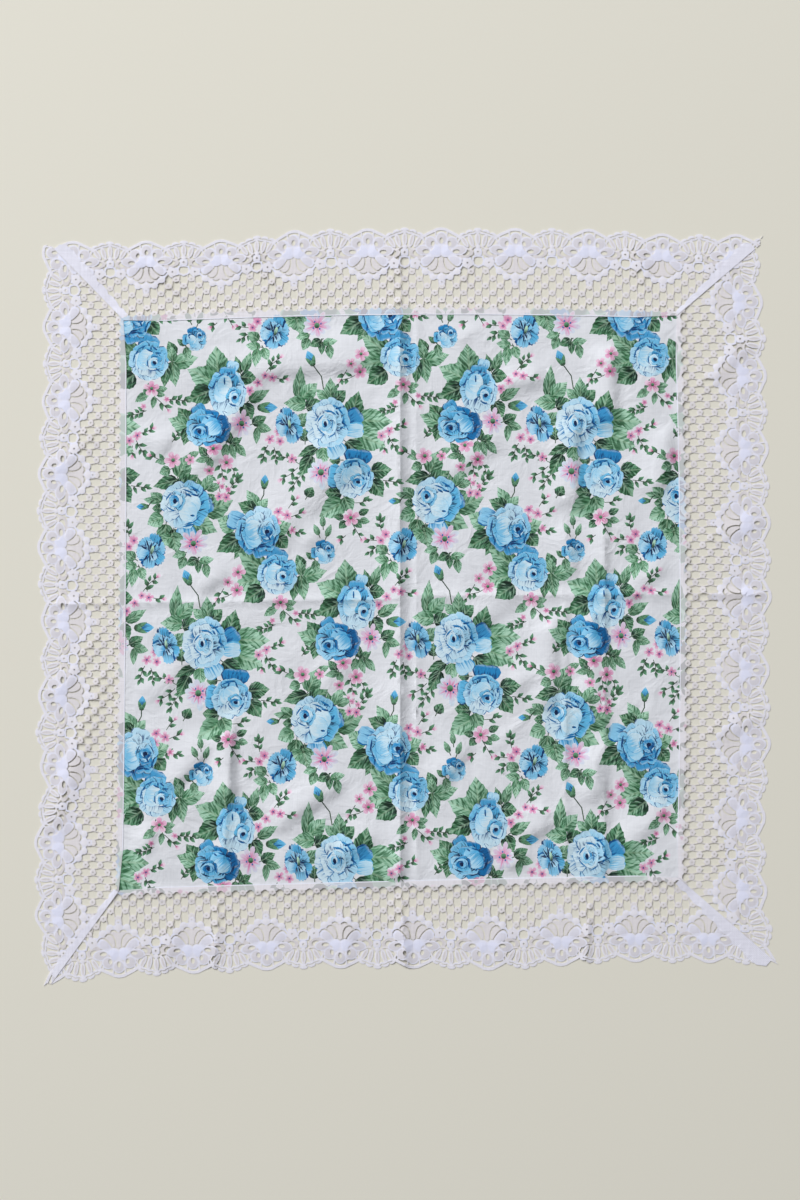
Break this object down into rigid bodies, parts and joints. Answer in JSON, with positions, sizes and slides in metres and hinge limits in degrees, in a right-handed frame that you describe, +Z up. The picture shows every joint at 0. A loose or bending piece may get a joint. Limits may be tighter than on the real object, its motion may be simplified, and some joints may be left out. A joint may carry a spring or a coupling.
{
  "type": "lace scarf",
  "caption": "Square kerchief scarf laid flat: printed cotton panel with a mitred strip of scalloped lace along each side.",
  "frame": {"origin": "middle of the scarf's outline, on the surface it lies on", "axes": "+Z up out of the printed face, +X to the right and +Y to the top edge as seen from above"},
  "size_m": [0.7032, 0.725, 0.0037],
  "materials": {
    "printed_cotton": "matt plain-weave cotton with a printed pattern of blue roses, green leaves and small pink flowers",
    "white_lace": "soft white knitted lace, slightly satin in its dense parts"
  },
  "bodies": {
    "root": {"panel": "printed_cotton", "lace_top": "white_lace", "lace_right": "white_lace", "lace_bottom": "white_lace", "lace_left": "white_lace"}
  },
  "joints": []
}
